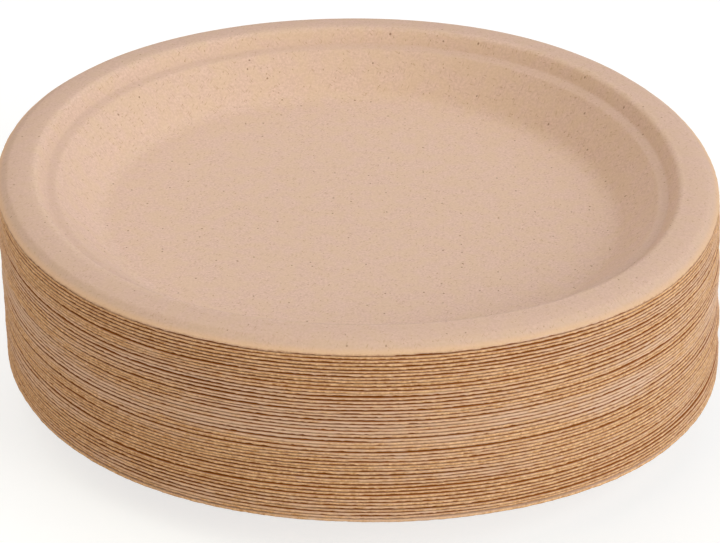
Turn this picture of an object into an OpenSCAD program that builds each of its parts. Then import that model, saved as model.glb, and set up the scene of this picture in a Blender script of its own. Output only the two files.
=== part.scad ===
// A leaning stack of round moulded fibre plates, nested one in the other.
// The origin is under the middle of the stack, on the surface that it
// stands on, and Z points up.

/* [Plate] */
// Diameter over the trimmed rim
plate_d = 260; // [230:1:300]
// Depth of the well, from the crest of the rim down to the floor
well_depth = 19.2; // [16:0.1:22]
// Thickness of the pressed fibre sheet
sheet_t = 0.69; // [0.5:0.01:0.9]

/* [Rim] */
// Width of the rim, from its crest out to the trimmed edge
rim_w = 12.5; // [10:0.5:18]
// Slope of the domed rim where the lip turns down, in degrees
dome_angle = 12; // [6:1:20]
// Rounding of the turn into the lip, on the upper face
lip_round = 4; // [2:0.5:7]
// Slope of the lip, in degrees
lip_angle = 38; // [34:1:52]
// Width of the lip, from its turn out to the trimmed edge
lip_w = 2.9; // [1.5:0.1:4]

/* [Inner side of the rim] */
// Rounding of the crest towards the well
crest_round = 3.5; // [1.5:0.1:4.5]
// Slope of the rim's inner side, in degrees
inner_angle = 50; // [44:1:54]
// Drop from the crest to the stacking ledge
ledge_drop = 4.9; // [4.2:0.1:6]

/* [Stacking ledge] */
// Rounding where the ledge turns up into the rim
ledge_fillet = 2; // [1:0.1:3]
// Width of the ledge between its roundings
ledge_w = 2; // [1:0.1:4]
// Slope of the ledge towards the well, in degrees
ledge_angle = 12; // [5:1:20]
// Rounding where the ledge turns down into the wall
ledge_round = 3; // [1.5:0.1:5]

/* [Wall] */
// Slope of the wall, in degrees
wall_angle = 42; // [36:1:44]
// Rounding where the wall runs out into the floor
floor_fillet = 11; // [8:0.5:20]

/* [Stack] */
// Number of plates
plates = 50; // [12:1:50]
// Clearance between two nested sheets, square to the steepest slope
nest_gap = 0.17; // [0.14:0.01:0.3]
// How far each plate stands to the left of the one below it
lean = 0.06; // [0:0.01:0.08]
// How far single plates wander to and fro about that lean
wander = 0.2; // [0:0.05:0.25]

/* [Hidden] */
// Facets round a plate
$fn = 144;
// Turn of the section within one facet of a rounded stretch, in degrees
arc_angle = 6;
// Turn of the wander from one plate to the next, in degrees
wander_angle = 27;

plate_r = plate_d / 2;

// A nested plate stands this much higher than the one below it
steepest = max(inner_angle, lip_angle);
pitch = (sheet_t + nest_gap) / cos(steepest);

// The section is walked from the trimmed edge to the middle. A point of it
// holds its radius, its height over the floor, and the slope of the upper
// face there, which is how far the face rises outwards.

// Points that follow a point along an arc. The round is positive where the
// face is domed and negative where it is hollow.
function arc(from, round, to_slope) =
    let (parts = ceil(abs(to_slope - from[2]) / arc_angle))
    [for (i = [1 : parts])
        let (slope = from[2] + (to_slope - from[2]) * i / parts)
        [from[0] + round * (sin(from[2]) - sin(slope)),
         from[1] + round * (cos(slope) - cos(from[2])),
         slope]];

// The point that lies further in by a width, along the slope of a point, or
// further out where the width is negative
function inward(from, width) =
    [from[0] - width, from[1] - width * tan(from[2]), from[2]];

// The point that lies down the slope of a point, at a height
function down_to(from, height) = inward(from, (from[1] - height) / tan(from[2]));

function last(points) = points[len(points) - 1];

// Height that a rounding takes up between two slopes
function arc_height(round, slope_a, slope_b) = abs(round * (cos(slope_a) - cos(slope_b)));

// The rim: a flat dome from the crest, the turn of the lip, and the lip
crest = [plate_r - rim_w, well_depth, 0];
turn_w = lip_round * (sin(lip_angle) - sin(dome_angle));
dome_round = (rim_w - turn_w - lip_w) / sin(dome_angle);
dome = arc(crest, dome_round, -dome_angle);
lip_turn = arc(last(dome), lip_round, -lip_angle);
lip_edge = inward(last(lip_turn), -lip_w);

// The inner side of the rim, down to the ledge
crest_in = arc(crest, crest_round, inner_angle);
rim_foot = down_to(
    last(crest_in),
    well_depth - ledge_drop + arc_height(ledge_fillet, inner_angle, ledge_angle)
);
ledge_in = arc(rim_foot, -ledge_fillet, ledge_angle);

// The ledge, the wall and the rounding that runs out into the floor
ledge_end = inward(last(ledge_in), ledge_w);
wall_top = arc(ledge_end, ledge_round, wall_angle);
wall_foot = down_to(last(wall_top), arc_height(floor_fillet, wall_angle, 0));
floor_in = arc(wall_foot, -floor_fillet, 0);

function reversed(points) = [for (i = [len(points) - 1 : -1 : 0]) points[i]];

upper_face = concat(
    [lip_edge],
    reversed(lip_turn),
    reversed(dome),
    [crest],
    crest_in,
    [rim_foot],
    ledge_in,
    [ledge_end],
    wall_top,
    [wall_foot],
    floor_in
);

// The lower face lies one sheet below the upper one, square to it
function under(point) =
    [point[0] + sheet_t * sin(point[2]), point[1] - sheet_t * cos(point[2])];

// The rim is trimmed straight down, so the lower face runs on to the cut
cut_foot = [plate_r, lip_edge[1] - sheet_t / cos(lip_angle)];

section = concat(
    [[0, 0]],
    [for (point = reversed(upper_face)) [point[0], point[1]]],
    [cut_foot],
    [for (point = upper_face) under(point)],
    [[0, -sheet_t]]
);

// The leaning stack is centred over the origin, half way up
function stray(n) =
    [lean * ((plates + 1) / 2 - n) + wander * sin(n * wander_angle),
     wander * cos(n * wander_angle)];

// The plates' colour differs a little from one to the next
kraft = [0.83, 0.71, 0.59];
shade_spread = 0.06;
shade_angle = 137;
function shade(n) = kraft * (1 + shade_spread * sin(n * shade_angle));

module plate(n) {
    translate([stray(n)[0], stray(n)[1], sheet_t + (n - 1) * pitch])
        color(shade(n))
            rotate_extrude()
                polygon(section);
}

function plate_name(n) = str("plate_", n < 10 ? "0" : "", n);

for (n = [1 : plates])
    plate(n);
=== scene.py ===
# %% [markdown]
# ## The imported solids
# The object is one leaning stack of fifty round plates of unbleached moulded
# fibre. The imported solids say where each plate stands, so they are loaded
# first and are never changed. Every plate that is drawn below stands where
# its own solid does, and takes that solid's place in the picture.

# %% Load the solids
import math

import bpy
import numpy as np
from mathutils import Matrix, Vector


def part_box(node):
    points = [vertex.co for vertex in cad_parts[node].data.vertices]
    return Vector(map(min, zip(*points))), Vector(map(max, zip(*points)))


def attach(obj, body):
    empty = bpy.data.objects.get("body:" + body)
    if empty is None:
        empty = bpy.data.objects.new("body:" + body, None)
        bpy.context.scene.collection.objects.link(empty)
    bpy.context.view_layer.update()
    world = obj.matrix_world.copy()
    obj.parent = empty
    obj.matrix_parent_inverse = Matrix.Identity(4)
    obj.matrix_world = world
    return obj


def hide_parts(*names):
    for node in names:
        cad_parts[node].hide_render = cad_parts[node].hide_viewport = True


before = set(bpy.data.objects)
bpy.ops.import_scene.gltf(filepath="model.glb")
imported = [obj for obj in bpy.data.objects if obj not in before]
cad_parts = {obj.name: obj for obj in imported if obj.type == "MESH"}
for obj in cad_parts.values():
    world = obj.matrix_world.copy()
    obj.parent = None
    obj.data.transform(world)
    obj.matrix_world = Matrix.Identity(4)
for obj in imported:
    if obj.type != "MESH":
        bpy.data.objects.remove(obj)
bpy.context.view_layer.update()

plate_names = sorted(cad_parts)
plate_count = len(plate_names)

# %% [markdown]
# ## The camera
# The photograph looks down on the stack from about 29 degrees, with a long
# lens, and hangs a little to one side. Rings projected onto the picture gave
# the distance, the height and the turn. A camera that is aimed at a point
# and then rolled about its own line of sight needs no shift of the lens.

# %% Camera
MM = 0.001
aim = np.array([-0.16, 0.0, 42.97]) * MM
camera_distance = 1711.5 * MM
camera_elevation = math.radians(29.02)
camera_roll = math.radians(1.42)

camera_data = bpy.data.cameras.new("camera")
camera_data.sensor_width = 36.0
camera_data.lens = 235.0
camera_data.clip_start = 0.05
camera = bpy.data.objects.new("camera", camera_data)
bpy.context.scene.collection.objects.link(camera)
towards_camera = np.array([0.0, -math.cos(camera_elevation), math.sin(camera_elevation)])
camera.matrix_world = (
    Matrix.Translation(aim + camera_distance * towards_camera)
    @ Matrix.Rotation(math.pi / 2 - camera_elevation, 4, "X")
    @ Matrix.Rotation(camera_roll, 4, "Z")
)
bpy.context.scene.camera = camera
bpy.context.scene.view_settings.view_transform = "Standard"
print("camera stands at", [round(value, 3) for value in camera.matrix_world.translation])

# %% [markdown]
# ## The section of a plate
# A moulded plate is the same all round, so its shape is one line, walked
# from the middle to the trimmed edge: floor, hollow foot of the wall, wall,
# stacking ledge, inner side of the rim, crest, flat dome and turned lip.
# Each stretch is a straight line or an arc that starts with the slope the
# last one ended with, which keeps the line free of kinks. The lower face is
# the same line, one sheet further down along its own normal.

# %% Section of a plate
sheet = 0.69
edge_radius = 130.0
crest_radius = 117.5
well_depth = 19.2
inner_slope = 50.0
ledge_slope = 12.0
wall_slope = 42.0
dome_slope = 12.0
lip_slope = 38.0
lip_width = 2.9


def arc(start, radius, to_slope, steps):
    """Rows that follow a row along an arc. Radius and height move by the arc's
    radius times the change of the slope's sine and cosine."""
    slope = np.linspace(start[2], to_slope, steps + 1)[1:]
    old, new = math.radians(start[2]), np.radians(slope)
    return np.column_stack([
        start[0] + radius * (math.sin(old) - np.sin(new)),
        start[1] + radius * (np.cos(new) - math.cos(old)),
        slope,
    ])


def tangent(degrees):
    return math.tan(math.radians(degrees))


def arc_height(radius, slope_a, slope_b):
    """Height that an arc takes up between two slopes."""
    return radius * abs(math.cos(math.radians(slope_a)) - math.cos(math.radians(slope_b)))


def down_to(start, height):
    """The row straight down a row's own slope, at a height."""
    drop = start[1] - height
    return start - [drop / tangent(start[2]), drop, 0]


def upper_rows(fine):
    """Radius, height and slope of the upper face, from the floor's outer part
    to the trimmed edge. A finer section has more rows along each arc."""
    crest_round, fillet, ledge_round, foot_round, lip_round = 3.5, 2.0, 3.0, 11.0, 4.0
    ledge_drop, ledge_width = 4.9, 2.0
    crest = np.array([crest_radius, well_depth, 0.0])
    turned_in = arc(crest, crest_round, inner_slope, 2 * fine)
    rim_foot = down_to(turned_in[-1], well_depth - ledge_drop
                       + arc_height(fillet, inner_slope, ledge_slope))
    ledge = arc(rim_foot, -fillet, ledge_slope, 2 * fine)
    ledge_end = ledge[-1] - [ledge_width, ledge_width * tangent(ledge_slope), 0]
    wall_top = arc(ledge_end, ledge_round, wall_slope, 2 * fine)
    wall_foot = down_to(wall_top[-1], arc_height(foot_round, wall_slope, 0))
    foot = arc(wall_foot, -foot_round, 0.0, 2 * fine)
    inner = np.vstack([turned_in, rim_foot, ledge, ledge_end, wall_top, wall_foot, foot])
    sine = [math.sin(math.radians(slope)) for slope in (dome_slope, lip_slope)]
    dome_width = edge_radius - crest_radius - lip_width - lip_round * (sine[1] - sine[0])
    dome = arc(crest, dome_width / sine[0], -dome_slope, fine)
    turned_out = arc(dome[-1], lip_round, -lip_slope, 2 * fine)
    out = lip_width * np.linspace(0, 1, fine + 1)[1:]
    lip = turned_out[-1] + np.column_stack([out, -out * tangent(lip_slope), 0 * out])
    return np.vstack([inner[::-1], crest, dome, turned_out, lip])


section = upper_rows(4)
floor_radius = section[0][0]
cut_height = sheet / math.cos(math.radians(lip_slope))
foot_height = section[-1][1] - cut_height
print("floor out to", round(floor_radius, 2), "mm; edge from", round(foot_height, 2),
      "to", round(section[-1][1], 2), "mm above the floor")

# %% [markdown]
# ## What makes real plates differ
# Fibre plates dry on their own after moulding, so they keep a slight warp,
# the same in all of them because they came from one mould and nest. Their
# edges are trimmed in a press, which leaves each rim a little out of centre,
# a little higher or lower than the next, and ragged with fibre ends. Plates
# were stacked in handfuls, so neighbours share some of it, and a dozen in the
# middle of the photographed stack are trimmed the most cleanly, as is the
# lowest. All of this is smooth noise round a circle: random numbers whose
# short waves are damped. Its sizes are in mm, like the length of its waves,
# and it has a seed, so that each run draws the same stack.

# %% Warp and raggedness
inner_sectors = 120
outer_sectors = 720
ragged_from = 127.0
draw = np.random.default_rng(50)
turn = np.linspace(0, 2 * np.pi, outer_sectors, endpoint=False)


def smooth_noise(count, length):
    """Noise round the rim, one row for each plate, with mean 0 and spread 1.
    White noise, with each wave damped by a bell curve of its number times
    the length over the girth."""
    waves = np.fft.rfft(draw.standard_normal((count, outer_sectors)))
    number = np.arange(waves.shape[1])
    girth = 2 * np.pi * edge_radius
    curve = np.fft.irfft(waves * np.exp(-(number * length / girth) ** 2), outer_sectors)
    curve -= curve.mean(axis=1, keepdims=True)
    return curve / curve.std(axis=1, keepdims=True)


def warp(angle):
    """Rise of the rim in mm round the stack: two and three waves a turn. The
    front is angle -90 degrees, and the fit counted from there."""
    phi = angle + np.pi / 2
    return (0.60 * np.cos(2 * phi) - 0.18 * np.sin(2 * phi)
            + 1.08 * np.cos(3 * phi) + 0.62 * np.sin(3 * phi) - 0.10 * np.sin(phi))


def ease(value, start, end):
    """0 before the start, 1 after the end, and three squares less two cubes
    of the way between them."""
    way = np.clip((value - start) / (end - start), 0, 1)
    return way * way * (3 - 2 * way)


def shared_noise(length):
    """Noise round the rim that the plates of a handful have in common: the sum
    over all plates, weighed by how near they are, with spread 1."""
    shared = closeness @ smooth_noise(plate_count, length)
    return shared / shared.std()


order = np.arange(plate_count)
handful_size = 2.5
clean_plate, clean_spread = 26, 7
most_lift, most_wear, lowest_share = 0.22, 0.42, 0.4
clean_middle = np.exp(-((order - clean_plate) / clean_spread) ** 2)
closeness = np.exp(-((order[:, None] - order) / handful_size) ** 2)
handful = shared_noise(90.0)
off_centre = draw.uniform(0.0, 0.22, (plate_count, 1))
off_angle = draw.uniform(0, 2 * np.pi, (plate_count, 1))
edge_shift = (off_centre * np.cos(turn - off_angle) + 0.13 * handful
              + 0.035 * smooth_noise(plate_count, 25.0)
              + 0.025 * smooth_noise(plate_count, 3.0))
edge_lift = np.clip(0.09 * draw.standard_normal((plate_count, 1))
                    + 0.08 * smooth_noise(plate_count, 60.0)
                    + 0.025 * smooth_noise(plate_count, 5.0), -most_lift, most_lift)
edge_wear = np.clip(0.21 - 0.11 * clean_middle[:, None] - 0.06 * handful
                    + 0.05 * draw.standard_normal((plate_count, 1))
                    + 0.05 * smooth_noise(plate_count, 18.0)
                    + 0.11 * smooth_noise(plate_count, 1.5), 0.0, most_wear)
edge_wear[0] *= lowest_share
cut_rough = 0.03 * smooth_noise(plate_count, 1.5)
print("rim warps by", round(np.ptp(warp(turn)), 2), "mm; trimmed edges wander by",
      round(float(edge_shift.std()), 3), "mm")

# %% [markdown]
# ## A plate as a closed surface
# The section is turned round the axis. The part near the edge carries the
# ragged detail and needs many points round the girth. The rest doesn't, so
# it has fewer, and one ring of fans joins the two. The rows run from the
# middle of the upper face round the edge to the middle of the underside,
# which makes every face point outwards. All plates in the pile share one
# list of faces, and only their points differ. Marks on the points tell the
# material where the cut is, where painted shade darkens the gap between
# plates, where the flat rim is tinted and painted shade lies along the
# ledge, and where a painted highlight lies on the lip.

# %% Build a plate
lift_from = 124.0
rim_band = (116.0, 119.0)
# The band of the lip that carries a painted highlight.
lip_highlight_band = (127.7, 129.8)
# Painted shade along the stacking ledge: where it fades in and out, and how strong it is next to the
# rim's tint.
ledge_shade_starts, ledge_shade_ends = (107.2, 109.8), (111.3, 113.4)
ledge_shade_weight = 1.2
under_margin = 0.6


def ring_faces(first, second, sectors):
    """Four-sided faces between two rings that start at these numbers."""
    here = np.arange(sectors)
    after = (here + 1) % sectors
    return np.column_stack([first + here, second + here, second + after, first + after])


def fan_faces(coarse, fine, sectors, ratio, outwards):
    """Triangles between a coarse ring and a fine one. The first half of a
    sector's fine points fans from its first coarse point, and the rest from
    the next one."""
    here = np.arange(sectors)[:, None]
    step = np.arange(ratio)[None, :]
    corner = coarse + (here + (step >= ratio // 2)) % sectors
    left = fine + (here * ratio + step) % (sectors * ratio)
    right = fine + (here * ratio + step + 1) % (sectors * ratio)
    fans = np.stack([corner, left, right], axis=-1).reshape(-1, 3)
    middle = fine + here * ratio + ratio // 2
    gaps = np.hstack([coarse + here, middle, coarse + (here + 1) % sectors])
    triangles = np.vstack([fans, gaps])
    return triangles if outwards else triangles[:, [1, 0, 2]]


def marked(rows, gap_shade):
    """Rows of radius and height, unworn, off the cut, and with this much painted shade from the gap
    to the next plate."""
    return np.hstack([rows, np.zeros((len(rows), 2)), np.full((len(rows), 1), gap_shade)])


def plate_rows(upper, covered):
    """The closed section's rows in three zones: upper face, edge, underside.
    Each row holds radius, height, its share of the wear, how much it belongs
    to the cut, and how much painted shade the gap to the next plate puts on it;
    covered is that painted shade on the upper face near the edge, 0 where no
    plate lies above. The wear's share is 2 for the row behind the foot, which
    moves in as well as up."""
    split = np.searchsorted(upper[:, 0], ragged_from)
    slope = np.radians(upper[:, 2])
    under = np.column_stack([upper[:, 0] + sheet * np.sin(slope),
                             upper[:, 1] - sheet * np.cos(slope)])
    under = under[under[:, 0] < edge_radius - under_margin]
    under_split = np.searchsorted(under[:, 0], ragged_from)
    up_lip = np.array([-math.cos(math.radians(lip_slope)), math.sin(math.radians(lip_slope))])
    top = upper[-1, :2]
    foot = np.array([edge_radius, foot_height])
    # The last column is painted shade from the gap between plates.
    edge = np.array([
        [*(top + 0.45 * up_lip), 0, 0, covered],            # up the lip
        [*(top + 0.12 * up_lip), 0, 0.3, 0.3 * covered],    # over the corner
        [top[0], top[1] - 0.10, 0, 1, 0],                   # under the corner
        [top[0], (top[1] + foot[1]) / 2, 0.5, 1, 0.08],     # half way down the cut
        [foot[0], foot[1], 1, 1, 0.45],                     # foot of the cut
        [foot[0] - 0.07, foot[1] + 0.07 * tangent(lip_slope), 2, 0.6, 0.6],  # behind it
    ])
    return (marked(upper[:split, :2], 0),
            np.vstack([marked(upper[split:-1, :2], covered), edge,
                       marked(under[under_split:][::-1], 1)]),
            marked(under[:under_split][::-1], 0))


def turn_rows(rows, sectors, number):
    """The points of some rows, turned round the axis. A point rises with the
    warp and near the edge also with its plate's lift. The edge moves out by
    its plate's shift, and the foot of the cut is worn upwards. Roughness
    moves the cut's upper and lower rows out and its middle row in."""
    every = outer_sectors // sectors
    angle = turn[::every]
    radius, height, wear, cut, gap_shade = (column[:, None] for column in rows.T)
    at_edge = ease(radius, lift_from, edge_radius)
    worn = edge_wear[number][::every]
    rough = np.where(cut == 1, cut_rough[number][::every] * (1 - 2 * (wear == 0.5)), 0)
    radius = radius + at_edge * edge_shift[number][::every] + rough
    radius = radius - np.where(wear == 2, worn / tangent(lip_slope), 0)
    height = (height + at_edge * edge_lift[number][::every] + np.minimum(wear, 1) * worn
              + ease(radius, floor_radius, crest_radius) * warp(angle))
    return np.stack([radius * np.cos(angle), radius * np.sin(angle), height], axis=-1)


def plate_faces(counts, sectors):
    """The faces of a whole plate: rings of four-sided faces in each zone, fans
    where the number of sectors changes, and a fan at each middle."""
    upper_count, edge_count, under_count = counts
    ratio = outer_sectors // sectors
    starts = 1 + sectors * np.arange(upper_count)
    edge_start = 1 + sectors * upper_count
    edge_starts = edge_start + outer_sectors * np.arange(edge_count)
    under_start = edge_start + outer_sectors * edge_count
    under_starts = under_start + sectors * np.arange(under_count)
    last = under_start + sectors * under_count
    quads = np.vstack(
        [ring_faces(a, b, sectors) for a, b in zip(starts[:-1], starts[1:])]
        + [ring_faces(a, b, outer_sectors) for a, b in zip(edge_starts[:-1], edge_starts[1:])]
        + [ring_faces(a, b, sectors) for a, b in zip(under_starts[:-1], under_starts[1:])]
    )
    here = np.arange(sectors)
    after = (here + 1) % sectors
    triangles = np.vstack([
        np.column_stack([0 * here, starts[0] + here, starts[0] + after]),
        fan_faces(starts[-1], edge_start, sectors, ratio, True),
        fan_faces(under_start, edge_starts[-1], sectors, ratio, False),
        np.column_stack([under_starts[-1] + here, last + 0 * here, under_starts[-1] + after]),
    ])
    return quads, triangles


def make_plate(name, zones, sectors, faces, number):
    """A mesh object of one plate, standing where its solid does."""
    low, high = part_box(name)
    place = [(low[0] + high[0]) / 2, (low[1] + high[1]) / 2, low[2] + sheet * MM]
    parts = [turn_rows(zones[0], sectors, number), turn_rows(zones[1], outer_sectors, number),
             turn_rows(zones[2], sectors, number)]
    points = np.vstack([[[0, 0, 0]]] + [part.reshape(-1, 3) for part in parts]
                       + [[[0, 0, -sheet]]]) * MM + place
    rows = np.vstack([[[0] * 5], *zones, [[0] * 5]])
    repeats = np.repeat([1, sectors, outer_sectors, sectors, 1],
                        [1, *(len(zone) for zone in zones), 1])
    radius, _, _, cut, gap_shade = np.repeat(rows, repeats, axis=0).T
    # The lowest plate takes only part of the painted gap shade, as painted shade under its own edge.
    gap_shade = gap_shade * (1 if number else lowest_gap_shade)
    in_view = (gap_shade == 0) * (cut < 1)
    # Painted shade: a band along the stacking ledge, where the rim's inner side turns into it, is
    # darkened with the rim's pink tint.
    ledge = ease(radius, *ledge_shade_starts) - ease(radius, *ledge_shade_ends)
    flat = (ease(radius, *rim_band) + ledge_shade_weight * ledge) * in_view
    # Painted highlight on the lip's outer part, where it is in view.
    pressed = ease(radius, *lip_highlight_band) * in_view
    tone = np.concatenate([np.tile(edge_tone[number][::outer_sectors // count], len(zone))
                           for zone, count in zip(zones, (sectors, outer_sectors, sectors))])
    quads, triangles = faces
    mesh = bpy.data.meshes.new("fibre_" + name)
    mesh.vertices.add(len(points))
    mesh.vertices.foreach_set("co", points.ravel())
    mesh.loops.add(quads.size + triangles.size)
    mesh.loops.foreach_set("vertex_index", np.concatenate([quads.ravel(), triangles.ravel()]))
    mesh.polygons.add(len(quads) + len(triangles))
    sizes = np.repeat([4, 3], [len(quads), len(triangles)])
    mesh.polygons.foreach_set("loop_start", np.concatenate([[0], np.cumsum(sizes)[:-1]]))
    mesh.update(calc_edges=True)
    mesh.shade_smooth()
    marks = {"cut": cut * (1 - top_cut_painted_light[number]), "gap_shade": gap_shade, "flat": flat, "pressed": pressed,
             "tone": np.pad(tone, 1), "sheet": 0 * cut + number}
    for label, values in marks.items():
        attribute = mesh.attributes.new(label, "FLOAT", "POINT")
        attribute.data.foreach_set("value", values.astype(np.float32))
    piece = bpy.data.objects.new("fibre_" + name, mesh)
    bpy.context.scene.collection.objects.link(piece)
    return piece


def with_floor(upper, rings):
    """Adds rings on the flat floor to the rows of the upper face."""
    radii = np.linspace(0, floor_radius, rings + 1)[1:-1]
    return np.vstack([np.column_stack([radii, 0 * radii, 0 * radii]), upper])


# %% [markdown]
# ## The fifty plates
# Each plate takes its own tone, which drifts slowly through the stack, as
# plates from one batch of pulp do, and jumps a little from one to the next.
# The plates in the middle of the photographed stack are also the greyest, and
# on each edge golden stretches take turns with grey ones. The top plate is in
# full view and gets a finer surface than the others. Its trimmed edge, with
# no plate above it, carries painted light, which makes it paler. The lowest
# plate has only part of the painted gap shade, which under it stands for the
# shade of its own edge.

# %% The stack
drift_step = 7
drift = smooth_noise(1, 60.0)[0][order * drift_step]
tones = 0.3 * drift + 0.4 * draw.standard_normal(plate_count) + 1.1 * clean_middle - 0.3
edge_tone = (tones[:, None] + 0.9 * shared_noise(60.0)
             + 0.6 * smooth_noise(plate_count, 4.0))
# Painted shade on the lowest plate is 0.4 of the full gap shade; painted light takes half of the
# torn colour off the top plate's cut.
lowest_gap_shade, free_cut = 0.4, 0.5
top_cut_painted_light = np.where(order == plate_count - 1, free_cut, 0.0)
pile_zones = plate_rows(upper_rows(1), 1)
top_zones = plate_rows(with_floor(upper_rows(5), 8), 0)
top_sectors = 240
pile_faces = plate_faces([len(zone) for zone in pile_zones], inner_sectors)
top_faces = plate_faces([len(zone) for zone in top_zones], top_sectors)

plates = []
for number, name in enumerate(plate_names):
    if number == plate_count - 1:
        plates.append(make_plate(name, top_zones, top_sectors, top_faces, number))
    else:
        plates.append(make_plate(name, pile_zones, inner_sectors, pile_faces, number))
triangles = [sum(len(face.vertices) - 2 for face in plate.data.polygons)
             for plate in (plates[0], plates[-1])]
print("triangles: a plate of the pile", triangles[0], "the top plate", triangles[1],
      "in all", triangles[0] * (plate_count - 1) + triangles[1])

# %% [markdown]
# ## Shader sums
# A material is easier to read as sums than as a list of links. A wire wraps
# one output socket, and its operators add Math nodes. The material's own
# method makes every other kind of node, with its settings first and then
# the values or wires of its sockets.

# %% Shader helper
class Wire:
    """One output socket, which can stand in a sum."""

    def __init__(self, shader, socket):
        self.shader = shader
        self.socket = socket

    def math(self, operation, *values):
        return self.shader.node("ShaderNodeMath", {"operation": operation},
                                dict(enumerate(values)))

    def __add__(self, other):
        return self.math("ADD", self, other)

    def __sub__(self, other):
        return self.math("SUBTRACT", self, other)

    def __rsub__(self, other):
        return self.math("SUBTRACT", other, self)

    def __mul__(self, other):
        return self.math("MULTIPLY", self, other)

    __radd__ = __add__
    __rmul__ = __mul__

    def between(self, start, end):
        """0 before the start, 1 after the end, eased between them."""
        return self.shader.node("ShaderNodeMapRange", {"interpolation_type": "SMOOTHSTEP"},
                                {"Value": self, "From Min": start, "From Max": end})


class Shader:
    """The emptied nodes of a material or a world, and the one method that
    adds nodes to them."""

    def __init__(self, owner):
        owner.use_nodes = True
        self.tree = owner.node_tree
        self.tree.nodes.clear()

    def node(self, kind, settings, sockets, output=0):
        made = self.tree.nodes.new(kind)
        for key, value in settings.items():
            setattr(made, key, value)
        for key, value in sockets.items():
            if isinstance(value, Wire):
                self.tree.links.new(value.socket, made.inputs[key])
            else:
                made.inputs[key].default_value = value
        return Wire(self, made.outputs[output]) if len(made.outputs) else made

    def mix(self, factor, first, second):
        """The first colour, and the second where the factor is 1."""
        return self.node("ShaderNodeMix", {"data_type": "RGBA", "clamp_factor": True},
                         {0: factor, 6: first, 7: second}, 2)


def linear(red, green, blue):
    """A colour picked from a screen, 0 to 255, as the light that it stands for."""
    value = np.array([red, green, blue]) / 255
    light = np.where(value < 0.04045, value / 12.92, ((value + 0.055) / 1.055) ** 2.4)
    return (*light.tolist(), 1.0)


# %% [markdown]
# ## Moulded fibre
# The plates are pressed from unbleached pulp. Seen close, the sheet is matt,
# faintly mottled in pinkish and yellowish beige, and carries fine grain,
# pale and dark fibre ends and a few brown specks. The flat rim is a little
# darker and pinker, and the same tint along the stacking ledge is painted
# shade. The outer part of the lip is paler and yellower, which is a painted
# highlight, and the gaps between stacked plates carry painted shade in dark
# brown. The trimmed edge shows the torn inside of the sheet, which is rougher
# and yellower still. Every pattern reads the piece's own coordinates, moved
# on for each plate by its number, so that no two plates carry the same marks.

# %% Fibre material
sheet_dark, sheet_light = linear(207, 174, 156), linear(225, 194, 180)
straw, rim_pink_and_ledge_shade, lip_highlight_yellow = linear(216, 187, 156), linear(200, 167, 151), linear(227, 187, 150)
pale_fibre, dark_fibre = linear(232, 208, 188), linear(170, 126, 94)
small_brown, dark_brown, gap_shade_brown = linear(150, 100, 66), linear(120, 76, 46), linear(140, 76, 14)
torn_dark, torn_light, torn_grey = linear(188, 130, 75), linear(251, 207, 162), linear(229, 191, 165)
own_step = (0.53, 0.31, 0.037)

fibre_material = bpy.data.materials.new("moulded_fibre")
fibre = Shader(fibre_material)
cut, gap_shade, flat, pressed, tone, sheet_number = [
    fibre.node("ShaderNodeAttribute", {"attribute_name": label}, {}, "Fac")
    for label in ("cut", "gap_shade", "flat", "pressed", "tone", "sheet")]
own_offset = fibre.node("ShaderNodeCombineXYZ", {}, {
    axis: sheet_number * step for axis, step in zip("XYZ", own_step)})
place = fibre.node("ShaderNodeVectorMath", {"operation": "ADD"}, {
    0: fibre.node("ShaderNodeTexCoord", {}, {}, "Object"), 1: own_offset})


def noise(scale, detail, roughness=0.55):
    """Soft noise with this many cells a metre, 0 to 1."""
    return fibre.node("ShaderNodeTexNoise", {}, {"Vector": place, "Scale": scale,
                                                 "Detail": detail, "Roughness": roughness})


def cells(vector, scale, share):
    """Flat cells, seen from above. Gives the distance from each cell's middle
    in cells, and 1 in the share of cells that are picked."""
    settings = {"voronoi_dimensions": "2D"}
    sockets = {"Vector": vector, "Scale": scale}
    distance = fibre.node("ShaderNodeTexVoronoi", settings, sockets, "Distance")
    shade = fibre.node("ShaderNodeTexVoronoi", settings, sockets, "Color")
    pick = fibre.node("ShaderNodeSeparateColor", {}, {"Color": shade}, "Red")
    return distance, pick.between(0.99 - share, 1.01 - share)


def strands(angle, length, width, share):
    """Short fibres that lie at an angle: picked cells, stretched along it."""
    stretched = fibre.node("ShaderNodeMapping", {"vector_type": "TEXTURE"}, {
        "Vector": place, "Rotation": (0, 0, math.radians(angle)),
        "Scale": (length * MM, width * MM, 1)})
    distance, picked = cells(stretched, 1.0, share)
    return (1 - distance.between(0.12, 0.26)) * picked


def specks(scale, radius, share):
    """Round specks: picked cells, out to a radius in cells."""
    uneven = fibre.node("ShaderNodeVectorMath", {"operation": "MULTIPLY_ADD"}, {
        0: fibre.node("ShaderNodeTexNoise", {}, {"Vector": place, "Scale": 1500.0}, "Color"),
        1: (0.0006, 0.0006, 0), 2: place})
    distance, picked = cells(uneven, scale, share)
    return (1 - distance.between(0.6 * radius, 1.3 * radius)) * picked


mottle = noise(150.0, 2.0)
patches = noise(25.0, 2.0)
grain = noise(1200.0, 3.0, 0.6)
pale_fibres = strands(20, 4.0, 0.7, 0.3) + strands(100, 4.0, 0.7, 0.3)
dark_fibres = strands(65, 4.0, 0.6, 0.12) + strands(150, 4.0, 0.6, 0.12)
small_specks = specks(420.0, 0.10, 0.22)
large_specks = specks(150.0, 0.05, 0.17)

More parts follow.
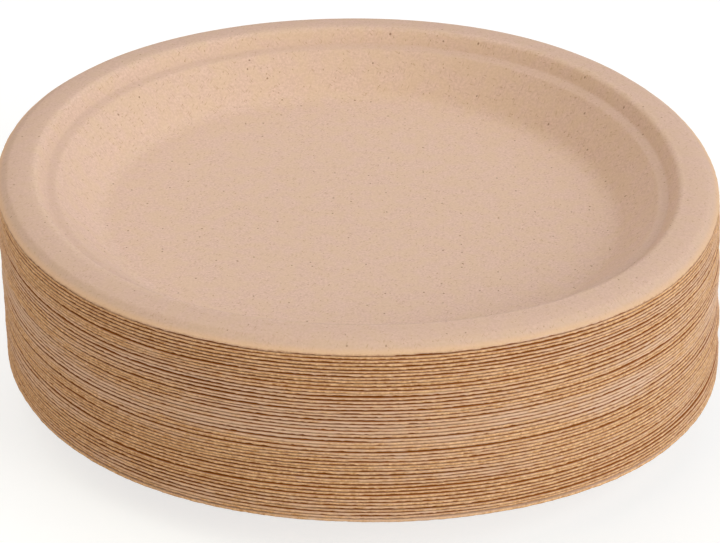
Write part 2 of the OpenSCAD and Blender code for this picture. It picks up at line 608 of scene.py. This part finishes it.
layers = [
    (mottle.between(0.35, 0.65), 0.4, straw),
    (pale_fibres, 0.15, pale_fibre),
    (dark_fibres, 0.4, dark_fibre),
    (small_specks, 0.45, small_brown),
    (large_specks, 0.7, dark_brown),
    # Tints the flat rim darker and pinker, and paints shade along the ledge.
    (flat, 0.35, rim_pink_and_ledge_shade),
    # Painted highlight in pale yellow on the lip.
    (pressed, 0.6, lip_highlight_yellow),
]
colour = fibre.mix(grain.between(0.25, 0.75), sheet_dark, sheet_light)
for where, strength, tint in layers:
    colour = fibre.mix(where * strength, colour, tint)
torn = noise(700.0, 3.0, 0.7)
greyness = tone * 0.32 + (patches - 0.5) * 0.5 + 0.2
cut_colour = fibre.mix(torn.between(0.2, 0.8), torn_dark, torn_light)
cut_colour = fibre.mix(greyness, cut_colour, torn_grey)
colour = fibre.mix(cut, colour, cut_colour)
# Painted shade: dark brown over the gap mark, for the shade between stacked plates.
colour = fibre.mix(gap_shade, colour, gap_shade_brown)

height = grain * 0.6 + mottle * 0.25 + pale_fibres * 0.3 + cut * noise(1400.0, 3.0) * 0.8
normal = fibre.node("ShaderNodeBump", {}, {"Height": height, "Strength": 0.3,
                                           "Distance": 0.06 * MM})
surface = fibre.node("ShaderNodeBsdfPrincipled", {}, {
    "Base Color": colour, "Roughness": 0.88, "Normal": normal,
    "Specular IOR Level": 0.3})
fibre.node("ShaderNodeOutputMaterial", {}, {"Surface": surface})
print("fibre material:", len(fibre.tree.nodes), "nodes")

for name, plate in zip(plate_names, plates):
    plate.data.materials.append(fibre_material)
    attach(plate, "root")
    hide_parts(name)

# %% [markdown]
# ## White ground and light
# The photograph is cut out on white. The ground here is a large matt sheet
# that glows a little for the camera only, so that it is white where light
# falls freely and still keeps a soft shadow at the foot of the stack. It lies
# a hair under the lowest plate, so that the two never share a plane.

# %% Ground
ground_size = 4.0
ground_drop = 0.02 * MM
white_lit, white_seen, white_glow = 0.8, 0.35, 0.71
ground_mesh = bpy.data.meshes.new("ground")
corners = ground_size * np.array([[-1, -1, 0], [1, -1, 0], [1, 1, 0], [-1, 1, 0]])
ground_mesh.from_pydata(corners.tolist(), [], [(0, 1, 2, 3)])
ground = bpy.data.objects.new("ground", ground_mesh)
ground.location.z = -ground_drop
bpy.context.scene.collection.objects.link(ground)
white_material = bpy.data.materials.new("white_ground")
white = Shader(white_material)
lit = white.node("ShaderNodeBsdfDiffuse", {}, {"Color": (*[white_lit] * 3, 1)})
lit_for_camera = white.node("ShaderNodeBsdfDiffuse", {}, {"Color": (*[white_seen] * 3, 1)})
glow = white.node("ShaderNodeEmission", {}, {"Color": (1, 1, 1, 1), "Strength": white_glow})
seen = white.node("ShaderNodeAddShader", {}, {0: lit_for_camera, 1: glow})
camera_ray = white.node("ShaderNodeLightPath", {}, {}, "Is Camera Ray")
white.node("ShaderNodeOutputMaterial", {}, {
    "Surface": white.node("ShaderNodeMixShader", {}, {0: camera_ray, 1: lit, 2: seen})})
ground_mesh.materials.append(white_material)

# %% [markdown]
# ## Light
# In the photograph the right side of the stack is the brightest, the wall
# of the well facing right is brighter than the one facing left, and the far
# part of the rim is a shade darker than the near one. Rendering the stack
# under one soft light at a time and weighing those pictures against the
# photograph gave five wide lights: a key from the right, a fill from the
# upper left, a light from behind and two low ones from the front. The low
# ones and the fill are the warmest, and the light from behind is the coolest.

# %% Light
world = bpy.data.worlds.new("world")
bpy.context.scene.world = world
sky = Shader(world)
around = sky.node("ShaderNodeBackground", {}, {"Color": (1, 1, 1, 1), "Strength": 0.05})
behind = sky.node("ShaderNodeBackground", {}, {"Color": (1, 1, 1, 1), "Strength": 1.0})
camera_ray = sky.node("ShaderNodeLightPath", {}, {}, "Is Camera Ray")
sky.node("ShaderNodeOutputWorld", {}, {
    "Surface": sky.node("ShaderNodeMixShader", {}, {0: camera_ray, 1: around, 2: behind})})


def sun(name, direction, strength, spread, colour):
    """Even light from a direction, softened over an angle in degrees."""
    data = bpy.data.lights.new(name, "SUN")
    data.energy = strength
    data.angle = math.radians(spread)
    data.color = colour
    lamp = bpy.data.objects.new(name, data)
    bpy.context.scene.collection.objects.link(lamp)
    x, y, z = direction
    lamp.rotation_euler = (0, math.atan2(math.hypot(x, y), z), math.atan2(y, x))
    return lamp


suns = [
    sun("key", (0.75, -0.35, 0.56), 1.77, 50, (0.96, 0.99, 0.99)),
    sun("front_right", (0.70, -0.70, 0.30), 1.03, 40, (1.00, 0.99, 0.76)),
    sun("front_left", (-0.75, -0.65, 0.30), 0.38, 40, (1.00, 0.85, 0.62)),
    sun("upper_left", (-0.60, 0.00, 0.80), 1.11, 60, (1.00, 0.94, 0.74)),
    sun("behind", (0.00, 0.70, 0.70), 1.05, 60, (0.93, 0.94, 1.06)),
]
print("suns:", [lamp.name for lamp in suns])
